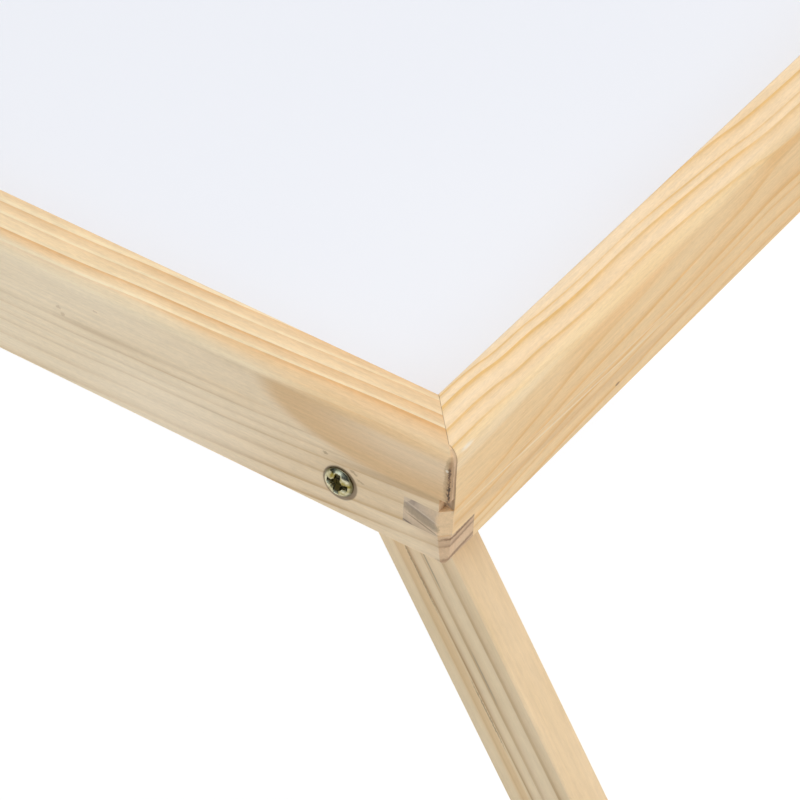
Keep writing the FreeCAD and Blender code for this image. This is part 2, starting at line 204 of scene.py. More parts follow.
def ring_tone(tree, point, board, on_top):
    """Darkness of the growth rings, 0 to 1, from a pith that wanders along the board."""
    seed = board.get("seed", 0.0)
    wander = grain_noise(tree, point, WANDER_MM, 3.0, (seed, 0, 0))
    reach = Vector((0, WANDER_REACH_MM, WANDER_REACH_MM))
    middle = add(tree, "ShaderNodeVectorMath", {0: point, 1: reach / 2}, operation="SUBTRACT")
    wandered = add(tree, "ShaderNodeVectorMath", {
        0: wander.outputs["Color"], 1: reach, 2: middle}, operation="MULTIPLY_ADD")
    split = add(tree, "ShaderNodeSeparateXYZ", {0: wandered})
    along = split.outputs["X"]
    inset = split.outputs["Y"]
    height = split.outputs["Z"]
    pith_inset = curve_through(tree, along, board["pith_inset"])
    pith_height = curve_through(tree, along, board["pith_height"])
    # Low on a rail the rings lie flatter, as its sawn ends show
    flatness = add(tree, "ShaderNodeMapRange", {
        "Value": height, "From Min": 12.0, "From Max": 18.0,
        "To Min": board.get("low_stretch", 0.3), "To Max": board.get("stretch", 1.0)})
    across = add(tree, "ShaderNodeMath", {0: inset, 1: flatness, 2: pith_inset}, operation="MULTIPLY_ADD")
    down = add(tree, "ShaderNodeMath", {0: pith_height, 1: height}, operation="SUBTRACT")
    offset = add(tree, "ShaderNodeCombineXYZ", {"Y": across, "Z": down})
    radius = add(tree, "ShaderNodeVectorMath", {0: offset}, operation="LENGTH").outputs["Value"]
    counted = [(r, float(k)) for k, (r, _) in enumerate(board["rings"])]
    count = curve_through(tree, radius, counted, handles="VECTOR")
    share = add(tree, "ShaderNodeMath", {0: count}, operation="FRACT")
    tone = add(tree, "ShaderNodeMix", {
        "Factor": on_top,
        "A": curve_through(tree, share, RING_PROFILE),
        "B": curve_through(tree, share, board.get("edge_profile", RING_PROFILE))})
    # Each ring has its own strength, which varies a little along its length
    strengths = []
    for (start, _), (end, strength) in zip(board["rings"], board["rings"][1:]):
        strengths += [(start + STRENGTH_STEP_MM, strength), (end, strength)]
    strength = curve_through(tree, radius, strengths, handles="VECTOR")
    patchy = grain_noise(tree, point, RING_PATCH_MM, 1.0, (seed, 3, 0))
    patches = add(tree, "ShaderNodeMapRange", {
        "Value": patchy, "From Min": 0.3, "From Max": 0.7, "To Min": 0.6, "To Max": 1.15})
    tone = add(tree, "ShaderNodeMath", {0: tone, 1: strength}, operation="MULTIPLY")
    tone = add(tree, "ShaderNodeMath", {0: tone, 1: patches}, operation="MULTIPLY")
    for quiet in board.get("quiet", ()):
        loud = add(tree, "ShaderNodeMath", {0: 1.0, 1: spot(tree, point, quiet)}, operation="SUBTRACT")
        tone = add(tree, "ShaderNodeMath", {0: tone, 1: loud}, operation="MULTIPLY")
    return tone


def ringed_colour(tree, board, tone, on_top, end_grain):
    """Colour of the growth rings on a board's faces, edges and sawn ends."""
    early = add(tree, "ShaderNodeMix", {
        "Factor": on_top,
        "A": linear(board["early"]),
        "B": linear(board["top_early"]),
    }, data_type="RGBA")
    late = add(tree, "ShaderNodeMix", {
        "Factor": on_top,
        "A": linear(board["late"]),
        "B": linear(board["top_late"]),
    }, data_type="RGBA")
    long_side = add(tree, "ShaderNodeMix", {
        "Factor": tone, "A": early.outputs[2], "B": late.outputs[2]}, data_type="RGBA")
    end = add(tree, "ShaderNodeMix", {
        "Factor": tone,
        "A": linear(board["end_early"]),
        "B": linear(board["end_late"]),
    }, data_type="RGBA")
    colour = add(tree, "ShaderNodeMix", {
        "Factor": end_grain, "A": long_side.outputs[2], "B": end.outputs[2]}, data_type="RGBA")
    return colour.outputs[2]


def clouded(tree, colour, point, board):
    """A colour with a board's clouds of a few centimetres and its blotches of a few millimetres."""
    seed = board.get("seed", 0.0)
    cloud = grain_noise(tree, point, CLOUD_MM, 2.0, (seed, 0, 7))
    cloud_share = add(tree, "ShaderNodeMapRange", {
        "Value": cloud, "From Min": 0.35, "From Max": 0.65, "To Min": 0.0, "To Max": 0.45})
    toned = add(tree, "ShaderNodeMix", {
        "Factor": cloud_share, "A": colour, "B": linear(board["cloud"])},
        data_type="RGBA", blend_type="MULTIPLY")
    # The planer has raised the grain here and there
    blotch = grain_noise(tree, point, BLOTCH_MM, 3.0, (seed, 5, 2))
    depth = board.get("blotchy", 0.03)
    blotches = add(tree, "ShaderNodeMapRange", {
        "Value": blotch, "From Min": 0.3, "From Max": 0.7, "To Min": 1 - depth, "To Max": 1 + depth})
    toned = add(tree, "ShaderNodeMix", {
        "Factor": 1.0, "A": toned.outputs[2], "B": blotches}, data_type="RGBA", blend_type="MULTIPLY")
    return toned.outputs[2]


def marked(tree, colour, point, board, on_top):
    """A colour with a board's marks: patches, checks, flecks and pale lines, some with torn edges."""
    tear = add(tree, "ShaderNodeTexNoise", {"Vector": point, "Scale": 1 / TEAR_MM, "Detail": 3.0})
    reach = Vector(TEAR_REACH_MM)
    middle = add(tree, "ShaderNodeVectorMath", {0: point, 1: reach / 2}, operation="SUBTRACT")
    torn = add(tree, "ShaderNodeVectorMath", {
        0: tear.outputs["Color"], 1: reach, 2: middle}, operation="MULTIPLY_ADD")
    for mark in board.get("marks", ()):
        share = spot(tree, torn if mark.get("torn") else point, mark)
        if mark.get("face_only"):
            on_face = add(tree, "ShaderNodeMath", {0: 1.0, 1: on_top}, operation="SUBTRACT")
            share = add(tree, "ShaderNodeMath", {0: share, 1: on_face}, operation="MULTIPLY")
        colour = add(tree, "ShaderNodeMix", {
            "Factor": share, "A": colour, "B": linear(mark["colour"])}, data_type="RGBA").outputs[2]
    return colour


def pine(name, board):
    """Pine of one board, with its own growth rings, marks and tones."""
    material, tree = new_material(name)
    point, normal = board_point(tree, board["corner"], board["turn"])
    turned = add(tree, "ShaderNodeSeparateXYZ", {0: normal})

    # A board's edges face up and down, and are sawn across the rings, which makes them warmer; on the legs
    # the face's darker colours also stand for painted shade
    edgewise = add(tree, "ShaderNodeMath", {0: turned.outputs["Z"]}, operation="ABSOLUTE")
    on_top = add(tree, "ShaderNodeMapRange", {
        "Value": edgewise, "From Min": 0.08, "From Max": 0.5}, interpolation_type="SMOOTHSTEP")
    # Its sawn ends, and the chamfers next to them, face along it and show end grain
    endwise = add(tree, "ShaderNodeMath", {0: turned.outputs["X"]}, operation="ABSOLUTE")
    end_grain = add(tree, "ShaderNodeMapRange", {
        "Value": endwise, "From Min": 0.6, "From Max": 0.69}, interpolation_type="SMOOTHSTEP")

    tone = ring_tone(tree, point, board, on_top)
    colour = ringed_colour(tree, board, tone, on_top, end_grain)
    colour = clouded(tree, colour, point, board)
    colour = marked(tree, colour, point, board, on_top)

    # Fibres: long streaks with a finer grain in them
    streaks = grain_noise(tree, point, STREAK_MM, 2.0)
    fibres = grain_noise(tree, point, FIBRE_MM, 2.0)
    both = add(tree, "ShaderNodeMath", {0: streaks, 1: fibres}, operation="ADD")
    both = add(tree, "ShaderNodeMath", {0: both, 1: 0.5}, operation="MULTIPLY")
    depth = board.get("fibre", 1.0)
    fibre_light = add(tree, "ShaderNodeMapRange", {
        "Value": both, "From Min": 0.35, "From Max": 0.65,
        "To Min": 1 - 0.08 * depth, "To Max": 1 + 0.07 * depth})
    colour = add(tree, "ShaderNodeMix", {
        "Factor": 1.0, "A": colour, "B": fibre_light}, data_type="RGBA", blend_type="MULTIPLY")
    bump = add(tree, "ShaderNodeBump", {"Strength": 0.25, "Distance": 0.06 * MM, "Height": fibres})

    roughness = add(tree, "ShaderNodeMapRange", {
        "Value": tone,
        "To Min": PINE_ROUGHNESS + EARLYWOOD_ROUGHER,
        "To Max": PINE_ROUGHNESS - LATEWOOD_SMOOTHER,
    })
    shader = add(tree, "ShaderNodeBsdfPrincipled", {
        "Base Color": colour.outputs[2],
        "Roughness": roughness,
        "IOR": PINE_IOR,
        "Normal": bump,
    })
    finish_material(tree, shader)
    return material


# Each rail's own corner in mm, and the turn in degrees of its axes: along, inset and height
RAIL_TURNS = {
    "front_side_rail": ((HALF_LENGTH_MM, -HALF_WIDTH_MM, RAIL_BASE_MM), (0, 0, 0)),
    "back_side_rail": ((-HALF_LENGTH_MM, HALF_WIDTH_MM, RAIL_BASE_MM), (0, 0, 180)),
    "right_end_rail": ((HALF_LENGTH_MM, -HALF_WIDTH_MM, RAIL_BASE_MM), (0, 0, -90)),
    "left_end_rail": ((-HALF_LENGTH_MM, HALF_WIDTH_MM, RAIL_BASE_MM), (0, 0, 90)),
}

# Boards. Places are (along, inset, height) mm from the corner that the photograph shows. The pith is
# given as (along, its inset or height), and a ring as (outer radius in mm, how strongly it shows).
# Quiet spots, where rings fade, and marks are ellipsoids: size is in mm from the middle out, tilt
# turns one on the face and roll on the sawn end, in degrees. A blur of 1 fades from the very middle.
SIDE_BOARD = {
    "early": "F2DAB7", "late": "CCA774", "top_early": "FFE8C0", "top_late": "E6AA64",
    "cloud": "F1E6D3", "end_early": "E0BF9A", "end_late": "A37F66",
    "pith_inset": ((-500.0, 6.0), (-250.0, 3.0), (-105.0, 2.0), (0.0, 2.1)),
    "pith_height": ((-500.0, 27.0), (-300.0, 22.0), (-105.0, 23.9), (-85.0, 24.9), (-65.0, 25.7),
                    (-45.0, 26.9), (-20.0, 29.1), (0.0, 31.0)),
    "rings": ((0.0, 0.0), (2.8, 0.6), (7.3, 0.9), (9.7, 0.85), (12.4, 0.45), (14.8, 0.75), (18.8, 0.7),
              (23.3, 0.9), (26.9, 0.8), (32.0, 0.7), (38.0, 0.7), (44.0, 0.7)),
    "blotchy": 0.04, "edge_profile": BANDED_PROFILE,
    "quiet": (
        {"at": (-60, -2, 23.5), "size": (400, 3.2, 7), "amount": 0.9},
    ),
    "marks": (
        # The darker patch over the screw, with a lighter middle
        {"at": (-8, 0, 27.5), "size": (40, 4, 11.5), "blur": 0.1, "colour": "DBB17B", "amount": 0.85,
         "face_only": True},
        {"at": (-9, 0, 27), "size": (19, 3, 5), "blur": 0.7, "colour": "EDD0AA", "amount": 0.75},
        # A dark streak under it, and warmer and paler drifts lower down and further along
        {"at": (-14, 0, 16.0), "size": (15, 2, 0.9), "tilt": 4, "blur": 0.6, "colour": "B08C62",
         "amount": 0.6},
        {"at": (-20, 0, 12), "size": (26, 2, 4), "blur": 0.9, "colour": "DDBE93", "amount": 0.45},
        {"at": (0, 0, 8), "size": (6, 2, 5), "blur": 0.9, "colour": "C9A67F", "amount": 0.5},
        {"at": (-72, 0, 5), "size": (20, 2, 6), "blur": 0.9, "colour": "FBE6C8", "amount": 0.55},
        {"at": (-125, 0, 12), "size": (50, 2, 40), "blur": 0.9, "colour": "FFEDCD", "amount": 0.4},
        # Painted highlights in bands along the upper edge of the face, where it rounds over to the top, and
        # a warmer stretch of the top edge
        {"at": (-95, 0, 29.6), "size": (58, 2, 2), "blur": 0.5, "colour": "FFE8C2", "amount": 0.6},
        {"at": (-8, 6, 35), "size": (42, 8, 2.4), "blur": 0.9, "colour": "EFB777", "amount": 0.3},
        {"at": (-18, 0, 29.6), "size": (24, 2, 1.8), "blur": 0.5, "colour": "F7C98C", "amount": 0.6},
        # Fuzz, tears and a crack where the lip meets the end rail, and painted shade beside them
        # Painted shade: a brown stripe on the lip's end
        {"at": (0, 1.5, 23), "size": (0.5, 1.9, 12), "colour": "D4B28C", "amount": 0.8},
        {"at": (-0.6, 0, 23.2), "size": (0.9, 1.0, 6.8), "colour": "BC9970", "amount": 0.7, "torn": True},
        {"at": (0, 0.3, 23), "size": (0.9, 1.1, 8), "colour": "B18A60", "amount": 0.85, "torn": True},
        {"at": (0, 0.15, 20.4), "size": (0.7, 0.18, 2.9), "colour": "38230F", "amount": 0.9, "torn": True},
        {"at": (0, 0.1, 25.2), "size": (0.7, 0.2, 2.0), "colour": "5A3F28", "amount": 0.85, "torn": True},
        {"at": (0, 0.9, 22.6), "size": (0.7, 0.1, 1.5), "colour": "7E5E42", "amount": 0.7, "torn": True},
        # Painted shadow line where the lip meets the end rail's face
        {"at": (0, 2.2, 21.5), "size": (0.8, 0.5, 7), "blur": 0.5, "colour": "9A744C", "amount": 0.8},
        {"at": (-0.9, 0, 26), "size": (0.35, 1, 0.35), "colour": "EBDCC6", "amount": 0.8},
        # Lines on its sawn end
        {"at": (0, 5.4, 6.2), "size": (2.4, 6.4, 0.4), "roll": 2.7, "blur": 0.5, "colour": "86603F",
         "amount": 0.9, "torn": True},
        {"at": (0, 5.4, 4.5), "size": (2.4, 6.4, 0.3), "roll": 4.8, "blur": 0.6, "colour": "A57E5A",
         "amount": 0.7, "torn": True},
        {"at": (0, 5.4, 1.1), "size": (2.4, 6.4, 0.45), "roll": 5.3, "blur": 0.6, "colour": "8D6848",
         "amount": 0.8, "torn": True},
        # A dark ring round the screw's head, offset to its lower right: painted contact shadow, and a
        # bruise in the wood under its edge
        {"at": (-27.15, 0, 8.85), "size": (4.4, 1, 4.4), "blur": 0.05, "colour": "6A5133", "amount": 0.75},
        # Flecks by the screw, and further along with a streak
        {"at": (-31.2, 0, 15.3), "size": (0.7, 1, 0.35), "colour": "AC8B67", "amount": 0.6, "torn": True},
        {"at": (-23.8, 0, 13.4), "size": (1.1, 1, 0.3), "tilt": -25, "colour": "AC8B67", "amount": 0.6,
         "torn": True},
        {"at": (-22, 0, 11.8), "size": (0.8, 1, 0.3), "tilt": -15, "colour": "AC8B67", "amount": 0.5,
         "torn": True},
        {"at": (-102.5, 0, 20.1), "size": (0.7, 1, 0.4), "colour": "B28B62", "amount": 0.35, "torn": True},
        {"at": (-101.3, 0, 18.7), "size": (0.6, 1, 0.5), "colour": "B28B62", "amount": 0.35, "torn": True},
        {"at": (-92.4, 0, 23.7), "size": (0.6, 1, 0.3), "colour": "B28B62", "amount": 0.3, "torn": True},
        {"at": (-90, 0, 17.9), "size": (12, 2, 0.9), "tilt": 1, "blur": 0.8, "colour": "CDAE86",
         "amount": 0.45},
    ),
}

END_BOARD = {
    "early": "F5D3A0", "late": "EDBB72", "top_early": "F9DEB8", "top_late": "ECC07C",
    "cloud": "F6ECDA", "end_early": "D9BFA0", "end_late": "A08B78",
    "pith_inset": ((0.0, 9.1), (12.0, 9.15), (20.0, 9.55), (30.0, 10.8), (40.0, 11.4), (50.0, 12.3),
                   (60.0, 12.75), (80.0, 13.0), (95.0, 13.6), (120.0, 15.0), (150.0, 16.5),
                   (220.0, 12.0), (300.0, 8.0)),
    "pith_height": ((0.0, 23.0), (12.0, 23.3), (30.0, 24.2), (50.0, 25.4), (60.0, 25.6), (80.0, 26.4),
                    (90.0, 26.9), (110.0, 27.2), (200.0, 24.0), (300.0, 27.0)),
    "rings": ((0.0, 0.0), (6.0, 0.0), (10.6, 0.0), (13.2, 0.95), (16.6, 1.0), (20.7, 1.0), (22.6, 0.8),
              (26.4, 0.9), (30.0, 0.7), (34.0, 0.7), (40.0, 0.7)),
    "quiet": (
        {"at": (76, 0, 26), "size": (24, 4, 3.5), "blur": 0.6, "amount": 0.55},
    ),
    "marks": (
        # A warm orange patch high on the face, then painted highlights in bands along its upper edge, where
        # it rounds over to the top
        {"at": (74, 0, 27), "size": (20, 3, 2.6), "tilt": 2, "blur": 0.6, "colour": "FACC8F",
         "amount": 0.65},
        {"at": (60, 0, 29.6), "size": (80, 2, 2.2), "blur": 0.5, "colour": "FFE0AC", "amount": 0.65},
        {"at": (16, 0, 27.3), "size": (30, 2, 1.6), "tilt": 5, "blur": 0.6, "colour": "FDE6C0",
         "amount": 0.5},
        # Two pale lines low on the face, and a darker drift under them
        {"at": (50, 0, 10.3), "size": (48, 1.5, 0.25), "tilt": -2.3, "colour": "F9E6C8", "amount": 0.6},
        {"at": (62, 0, 11.7), "size": (36, 1.5, 0.2), "tilt": -1.8, "colour": "F9E6C8", "amount": 0.4},
        {"at": (45, 0, 7.2), "size": (60, 2, 1.3), "tilt": -2.4, "blur": 0.6, "colour": "D9AE7A",
         "amount": 0.4},
        # A brown fleck by the lower edge, a painted highlight on the arris by the mitre, and a painted
        # shadow line cast by the lip along the rim of its chamfer
        {"at": (69.5, 0, 3.3), "size": (0.9, 1, 0.35), "colour": "8A6240", "amount": 0.8},
        {"at": (6.5, 0.4, 28.9), "size": (1.9, 1.6, 0.4), "blur": 0.8, "colour": "FFF8EC", "amount": 0.6},
        {"at": (2.4, 0, 17), "size": (0.3, 0.8, 4), "colour": "927049", "amount": 0.65},
        # The plain chamfer of its finger
        {"at": (1.2, 1.2, 10.4), "size": (2.1, 2.1, 4.4), "blur": 0.2, "colour": "EFCB9C", "amount": 0.8},
        # Its sawn end: a broad grey band with a pale line over it
        {"at": (0, 6.6, 10.1), "size": (0.6, 5.6, 1.1), "roll": 16.5, "colour": "A08A6E", "amount": 0.8,
         "torn": True},
        {"at": (0, 6.6, 11.6), "size": (0.6, 5.2, 0.22), "roll": 16.5, "colour": "DCC6A8", "amount": 0.5},
        {"at": (0, 6.2, 8.4), "size": (0.6, 4.0, 0.2), "roll": 16.5, "colour": "7C6248", "amount": 0.6},
        {"at": (0, 9.8, 7.2), "size": (0.6, 1.4, 0.2), "roll": 13, "colour": "6E5644", "amount": 0.8},
    ),
}

BACK_BOARD = dict(
    SIDE_BOARD, seed=4.1, quiet=(), marks=(),
    pith_inset=((-500.0, 9.0), (-200.0, 14.0), (0.0, 11.0)),
    pith_height=((-500.0, 8.0), (-250.0, 12.0), (0.0, 9.0)))
LEFT_BOARD = dict(
    END_BOARD, seed=7.3, quiet=(), marks=(),
    pith_inset=((0.0, 16.0), (140.0, 13.0), (300.0, 18.0)),
    pith_height=((0.0, 12.0), (160.0, 15.0), (300.0, 11.0)))

# A leg's places are (down from the pivot, in from its outer face, across towards its outer edge)
# A leg's outer face is darker and greener than its edges, which is painted shade; its edges show only faint
# rings
LEG_BOARD = {
    "early": "E9D1AB", "late": "B38D5C", "top_early": "F3D7AF", "top_late": "EED0A6",
    "cloud": "F0EAD8", "end_early": "D0B491", "end_late": "8E7262",
    "pith_inset": ((-10.0, 10.0), (220.0, 12.0)),
    "pith_height": ((-10.0, 59.8), (220.0, 61.0)),
    "rings": ((0.0, 0.5), (10.0, 0.5), (22.0, 0.5), (34.0, 0.5), (45.0, 0.5), (50.4, 0.5), (55.9, 0.8),
              (60.6, 0.6), (63.7, 0.9), (66.3, 0.5), (70.5, 0.3), (76.0, 0.3)),
    "low_stretch": 0.2, "stretch": 0.2, "fibre": 0.55,
}
LEG_MARKS = (
    {"at": (60, 0, -4.3), "size": (200, 1.5, 1.3), "blur": 0.5, "colour": "DDB680", "amount": 0.6},
    {"at": (30, 0, -2.9), "size": (11, 1, 0.2), "colour": "8F7350", "amount": 0.7, "torn": True},
    {"at": (68, 0, -2.9), "size": (9, 1, 0.2), "colour": "8F7350", "amount": 0.7, "torn": True},
    {"at": (29.5, 0, 1.2), "size": (6, 1, 0.2), "colour": "9C8D74", "amount": 0.7},
    {"at": (58.5, 0, 1.2), "size": (7, 1, 0.2), "colour": "9C8D74", "amount": 0.7},
)

BOARDS = {
    "front_side_rail": SIDE_BOARD,
    "back_side_rail": BACK_BOARD,
    "right_end_rail": END_BOARD,
    "left_end_rail": LEFT_BOARD,
}


def dress(node, material):
    """Puts one material on a CAD node's object."""
    slots = frame["nodes"][node].data.materials
    slots.clear()
    slots.append(material)


def dress_wood():
    """Each wooden piece gets pine cut from its own place in the plank."""
    for node, (corner, turn) in RAIL_TURNS.items():
        dress(node, pine("pine_" + node, dict(BOARDS[node], corner=corner, turn=turn)))
    lean = 90 - LEG_SPLAY
    turns = {
        "front_right_leg": (0, -lean, 0),
        "back_right_leg": (180, lean, 0),
        "back_left_leg": (0, lean, 180),
        "front_left_leg": (0, 180 + lean, 0),
    }
    for number, (node, turn) in enumerate(turns.items()):
        x = PIVOT_X_MM if "right" in node else -PIVOT_X_MM
        y = -LEG_OUTER_MM if "front" in node else LEG_OUTER_MM
        board = dict(LEG_BOARD, corner=(x, y, PIVOT_Z_MM), turn=turn, seed=3.7 * number)
        if node == "front_right_leg":
            board["marks"] = LEG_MARKS
        dress(node, pine("pine_" + node, board))
    for number, (end, turn) in enumerate((("right", (0, -lean, -90)), ("left", (0, lean, 90)))):
        low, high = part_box(end + "_crossbar")
        board = dict(LEG_BOARD, corner=(low + high) / 2 / MM, turn=turn, seed=11.0 + 5 * number)
        board["pith_inset"] = ((-150.0, 30.0), (0.0, 34.0), (150.0, 29.0))
        board["pith_height"] = ((-150.0, 40.0), (0.0, 44.0), (150.0, 41.0))
        dress(end + "_crossbar", pine("pine_" + end + "_crossbar", board))


def white_board():
    """Melamine-faced hardboard: a smooth satin white with the faintest orange peel."""
    material, tree = new_material("white_melamine_board")
    coordinates = add(tree, "ShaderNodeTexCoord").outputs["Object"]
    peel = add(tree, "ShaderNodeTexNoise", {"Vector": coordinates, "Scale": 1 / (1.5 * MM), "Detail": 1.0})
    cloud = add(tree, "ShaderNodeTexNoise", {"Vector": coordinates, "Scale": 1 / (120 * MM), "Detail": 1.0})
    colour = add(tree, "ShaderNodeMix", {
        "Factor": cloud.outputs["Fac"], "A": linear("F3F5FC"), "B": linear("F7F8FD")}, data_type="RGBA")
    bump = add(tree, "ShaderNodeBump", {
        "Strength": 0.1, "Distance": 0.02 * MM, "Height": peel.outputs["Fac"]})
    shader = add(tree, "ShaderNodeBsdfPrincipled", {
        "Base Color": colour.outputs[2], "Roughness": 0.35, "IOR": 1.5, "Normal": bump})
    finish_material(tree, shader)
    return material


def yellow_zinc():
    """Yellow-passivated zinc on a rolled steel screw: pale gold with olive drifts, with painted shade in
    its cross and round its head's edge.
    """
    material, tree = new_material("yellow_zinc_plated_steel")
    coordinates = add(tree, "ShaderNodeTexCoord").outputs["Object"]
    drift = add(tree, "ShaderNodeTexNoise", {"Vector": coordinates, "Scale": 1 / (2.2 * MM), "Detail": 2.0})
    colour = add(tree, "ShaderNodeValToRGB", {"Fac": drift.outputs["Fac"]})
    ramp = colour.color_ramp
    ramp.elements[0].position = 0.36
    ramp.elements[0].color = linear("93843F")
    ramp.elements[1].position = 0.6
    ramp.elements[1].color = linear("DED8B8")
    # Painted shade: a dark olive in the stamped cross, and round the head's edge where it would reflect the
    # wood
    painted_shade = add(tree, "ShaderNodeAttribute", attribute_name="painted_shade")
    dark = add(tree, "ShaderNodeMix", {
        "Factor": painted_shade.outputs["Fac"], "A": colour.outputs["Color"], "B": linear("3B3418")},
        data_type="RGBA")
    pits = add(tree, "ShaderNodeTexNoise", {"Vector": coordinates, "Scale": 1 / (0.5 * MM), "Detail": 2.0})
    bump = add(tree, "ShaderNodeBump", {
        "Strength": 0.35, "Distance": 0.05 * MM, "Height": pits.outputs["Fac"]})
    shader = add(tree, "ShaderNodeBsdfPrincipled", {
        "Base Color": dark.outputs[2], "Metallic": 1.0, "Roughness": 0.2, "Normal": bump})
    finish_material(tree, shader)
    return material


# Screws, in mm. Edge is the height of the head's edge over the wood; Neck is how deep a countersunk
# head's cone goes under its rim.
PIVOT_SCREW = {
    "Head Radius": 3.75, "Head Height": 1.5, "Edge": 0.3, "Rim": 0.3, "Neck": 0.0,
    "Shank Radius": 2.0, "Length": 20.6, "Point": 3.0, "Pitch": 1.4, "Thread Depth": 0.35,
    "Cross Reach": 2.6, "Cross Width": 1.4, "Cross Depth": 1.6,
}
CROSSBAR_SCREW = {
    "Head Radius": 3.3, "Head Height": 0.0, "Edge": 0.0, "Rim": 0.3, "Neck": 1.6,
    "Shank Radius": 1.6, "Length": 26.2, "Point": 3.0, "Pitch": 1.3, "Thread Depth": 0.3,
    "Cross Reach": 2.3, "Cross Width": 1.0, "Cross Depth": 1.3,
}
# The gap between a pivot screw's head and its rail
HEAD_OFF_RAIL_MM = 0.05
# How far each pair's front screw is turned, and how much further its back one, in radians
SCREW_TURNS = {
    "right": {"pivot": 0.07, "crossbar": 0.7},
    "left": {"pivot": 0.67, "crossbar": 0.3},
}
BACK_SCREW_TURN = 0.6
# Faces round a screw and along it
SCREW_ROUND = 96
SCREW_ALONG = 140
# Where along a screw's sheet the crown lies, the cross fades out, each stretch ends, and the thread
# begins and is at its deepest
CROWN = -0.5
CROSS_FADE = -0.09
CROSS_END = -0.07
DOME_END = -0.06
RIM_END = -0.04
NECK_END = 0.0
THREAD_START = 0.02
THREAD_FULL = 0.05
SHANK_END = 0.45
POINT_END = 0.5
# How flat the dome is on top, how round the cross's lips are, and how close its points are welded
DOME_CURVE = 3.2
END_LIP_MM = 0.3
SIDE_LIP_MM = 0.16
WELD_MM = 0.004


def screw_outline(tree, size, along):
    """How far out on the head's dome, 0 to 1, and the radius and height in mm down a whole screw."""
    # Radius: out over the dome, in under the head, in again to the point
    dome = add(tree, "ShaderNodeMapRange", {"Value": along, "From Min": CROWN, "From Max": DOME_END})
    out = add(tree, "ShaderNodeMath", {0: dome, 1: size["Head Radius"]}, operation="MULTIPLY")
    step = add(tree, "ShaderNodeMath", {
        0: size["Head Radius"], 1: size["Shank Radius"]}, operation="SUBTRACT")
    under = add(tree, "ShaderNodeMapRange", {
        "Value": along, "From Min": RIM_END, "From Max": NECK_END, "To Max": step})
    tip = add(tree, "ShaderNodeMapRange", {
        "Value": along, "From Min": SHANK_END, "From Max": POINT_END, "To Max": size["Shank Radius"]})
    radius = add(tree, "ShaderNodeMath", {0: out, 1: under}, operation="SUBTRACT")
    radius = add(tree, "ShaderNodeMath", {0: radius, 1: tip}, operation="SUBTRACT")

    # Height: down the dome, the rim, the neck, the shank and the point
    fall = add(tree, "ShaderNodeMath", {0: size["Head Height"], 1: size["Edge"]}, operation="SUBTRACT")
    curved = add(tree, "ShaderNodeMath", {0: dome, 1: DOME_CURVE}, operation="POWER")
    height = add(tree, "ShaderNodeMath", {0: curved, 1: fall}, operation="MULTIPLY")
    height = add(tree, "ShaderNodeMath", {0: size["Head Height"], 1: height}, operation="SUBTRACT")
    shank = add(tree, "ShaderNodeMath", {0: size["Length"], 1: size["Point"]}, operation="SUBTRACT")
    shank = add(tree, "ShaderNodeMath", {0: shank, 1: size["Neck"]}, operation="SUBTRACT")
    for start, end, drop in ((DOME_END, RIM_END, size["Rim"]), (RIM_END, NECK_END, size["Neck"]),
                             (NECK_END, SHANK_END, shank), (SHANK_END, POINT_END, size["Point"])):
        part = add(tree, "ShaderNodeMapRange", {
            "Value": along, "From Min": start, "From Max": end, "To Max": drop})
        height = add(tree, "ShaderNodeMath", {0: height, 1: part}, operation="SUBTRACT")
    return dome, radius, height


def thread_groove(tree, size, around, along, height):
    """Depth in mm of the thread's groove, which winds down the shank."""
    turns = add(tree, "ShaderNodeMath", {0: height, 1: size["Pitch"]}, operation="DIVIDE")
    turns = add(tree, "ShaderNodeMath", {0: turns, 1: around}, operation="ADD")
    wave = add(tree, "ShaderNodeMath", {0: turns, 1: 0.5}, operation="PINGPONG")
    groove = add(tree, "ShaderNodeMapRange", {
        "Value": wave, "From Max": 0.5, "To Max": size["Thread Depth"]})
    threaded = add(tree, "ShaderNodeMapRange", {
        "Value": along, "From Min": THREAD_START, "From Max": THREAD_FULL})
    return add(tree, "ShaderNodeMath", {0: groove, 1: threaded}, operation="MULTIPLY")


def cross_recess(tree, size, along, x, y, radius):
    """Share, 0 to 1, of the cross in a head: two wings with rounded lips and a round middle."""
    half = add(tree, "ShaderNodeMath", {0: size["Cross Width"], 1: 0.5}, operation="MULTIPLY")
    wings = []
    for length, width in ((x, y), (y, x)):
        sides = []
        for place, limit, lip in ((length, size["Cross Reach"], END_LIP_MM), (width, half, SIDE_LIP_MM)):
            inside = add(tree, "ShaderNodeMath", {0: place}, operation="ABSOLUTE")
            inside = add(tree, "ShaderNodeMath", {0: limit, 1: inside}, operation="SUBTRACT")
            sides.append(add(tree, "ShaderNodeMapRange", {
                "Value": inside, "From Min": -lip, "From Max": lip}, interpolation_type="SMOOTHSTEP"))
        wings.append(add(tree, "ShaderNodeMath", {0: sides[0], 1: sides[1]}, operation="MULTIPLY"))
    cross = add(tree, "ShaderNodeMath", {0: wings[0], 1: wings[1], 2: 0.6}, operation="SMOOTH_MAX")
    from_middle = add(tree, "ShaderNodeMath", {0: radius, 1: size["Cross Width"]}, operation="DIVIDE")
    middle = add(tree, "ShaderNodeMapRange", {
        "Value": from_middle, "From Min": 1.25, "From Max": 0.8}, interpolation_type="SMOOTHSTEP")
    cross = add(tree, "ShaderNodeMath", {0: cross, 1: middle}, operation="MAXIMUM")
    # The cross ends short of the dome's edge, so the rim and the shank have none
    on_head = add(tree, "ShaderNodeMapRange", {
        "Value": along, "From Min": CROSS_END, "From Max": CROSS_FADE})
    return add(tree, "ShaderNodeMath", {0: cross, 1: on_head}, operation="MULTIPLY")


